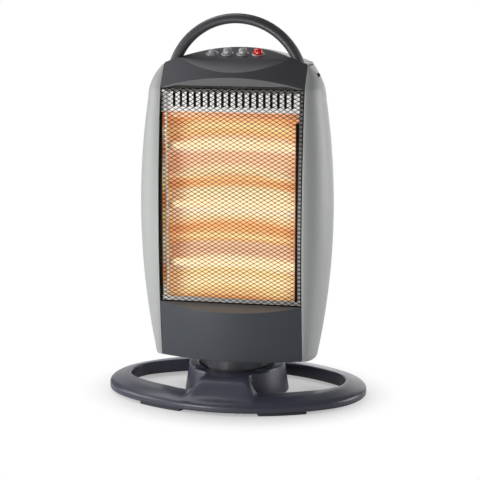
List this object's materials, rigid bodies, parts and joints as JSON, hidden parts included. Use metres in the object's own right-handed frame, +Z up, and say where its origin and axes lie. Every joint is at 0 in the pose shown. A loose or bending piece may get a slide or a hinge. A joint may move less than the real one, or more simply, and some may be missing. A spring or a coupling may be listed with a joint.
{
  "type": "halogen heater",
  "caption": "Upright halogen room heater with reflector and mesh guard, sloping button panel, arched carrying handle and a head that swings on an oval ring base.",
  "frame": {"origin": "on the floor under the swivel axis, which is the centre of the oval base", "axes": "+Z up, -Y out of the grille towards the user, +X to the right as the user sees it"},
  "size_m": [0.35, 0.238, 0.505],
  "materials": {
    "base_plastic": "fine-grained dark blue-grey moulding",
    "rubber_feet": "soft matt",
    "nylon": "natural moulding",
    "zinc_screws": "zinc plated",
    "steel_sheet": "galvanised",
    "spring_steel": "bright",
    "motor_can": "plated can",
    "panel_plastic": "satin, bluish dark grey",
    "cap_plastic": "satin, dark grey",
    "silver_plastic": "silver-grey painted moulding, satin",
    "rear_plastic": "fine grain",
    "black_screws": "black oxide",
    "handle_plastic": "satin, dark grey",
    "polished_aluminium": "polished",
    "quartz_glass": "clear, lit from inside",
    "filament_wire": "glowing coil",
    "white_ceramic": "unglazed",
    "guard_wire": "bright expanded metal",
    "grey_button": "smooth",
    "red_button": "smooth, lit red",
    "grey_bezel": "smooth",
    "black_nylon": "plain",
    "brass_weight": "turned",
    "black_rubber": "plain",
    "red_silicone": "silicone sleeve"
  },
  "bodies": {
    "base": {"base": "base_plastic", "foot_pads": "rubber_feet", "slide_ring": "nylon", "fixed_gear": "nylon", "gear_screws": "zinc_screws"},
    "head": {"swivel_collar": "base_plastic", "retaining_washer": "steel_sheet", "retaining_clip": "spring_steel", "floor_pan": "steel_sheet", "collar_screws": "zinc_screws", "gear_motor": "motor_can", "motor_screws": "zinc_screws", "lower_panel": "panel_plastic", "top_cap": "cap_plastic", "side_panel_left": "silver_plastic", "side_panel_right": "silver_plastic", "rear_cover": "rear_plastic", "rear_screws": "black_screws", "handle": "handle_plastic", "handle_screws": "zinc_screws", "side_frame_left": "steel_sheet", "side_frame_right": "steel_sheet", "heat_shield": "polished_aluminium", "reflector": "polished_aluminium", "reflector_end_left": "polished_aluminium", "reflector_end_right": "polished_aluminium", "tube_lower": "quartz_glass", "tube_middle": "quartz_glass", "tube_upper": "quartz_glass", "filament_lower": "filament_wire", "filament_middle": "filament_wire", "filament_upper": "filament_wire", "ceramic_ends": "white_ceramic", "tube_clips": "spring_steel", "guard_mesh": "guard_wire", "guard_frame": "guard_wire", "button_bezels": "grey_bezel", "switch_block": "black_nylon", "tilt_switch": "nylon", "thermal_cutout": "white_ceramic", "terminal_block": "nylon", "cord_grommet": "black_rubber", "wire_loom": "red_silicone"},
    "pinion": {"drive_pinion": "nylon"},
    "heat_1": {"heat_button_1": "grey_button"},
    "heat_2": {"heat_button_2": "grey_button"},
    "heat_3": {"heat_button_3": "grey_button"},
    "swing": {"swing_button": "red_button"},
    "pendulum": {"tilt_pendulum": "brass_weight"}
  },
  "joints": [
    {"name": "head_swivel", "type": "hinge", "parent": "base", "child": "head", "pos_m": [0, 0, 0.039], "axis": [0, 0, 1], "range_deg": [-35, 35]},
    {"name": "pinion_spin", "type": "hinge", "parent": "head", "child": "pinion", "pos_m": [0.03562, 0, 0.0405], "axis": [0, 0, 1], "range_deg": [-132, 132]},
    {"name": "pendulum_swing", "type": "hinge", "parent": "head", "child": "pendulum", "pos_m": [-0.038, -0.016, 0.0885], "axis": [1, 0, 0], "range_deg": [-20, 20]},
    {"name": "heat_1_press", "type": "slide", "parent": "head", "child": "heat_1", "axis": [0, 0.284, -0.9588], "range_m": [-0.0032, 0]},
    {"name": "heat_2_press", "type": "slide", "parent": "head", "child": "heat_2", "axis": [0, 0.284, -0.9588], "range_m": [0, 0.0032], "stiffness_N_per_m": 150, "springref_m": -0.002},
    {"name": "heat_3_press", "type": "slide", "parent": "head", "child": "heat_3", "axis": [0, 0.284, -0.9588], "range_m": [0, 0.0032], "stiffness_N_per_m": 150, "springref_m": -0.002},
    {"name": "swing_press", "type": "slide", "parent": "head", "child": "swing", "axis": [0, 0.284, -0.9588], "range_m": [0, 0.0032], "stiffness_N_per_m": 150, "springref_m": -0.002}
  ],
  "couplings": [
    {"joint": "pinion_spin", "follows": "head_swivel", "ratio": 3.75}
  ]
}
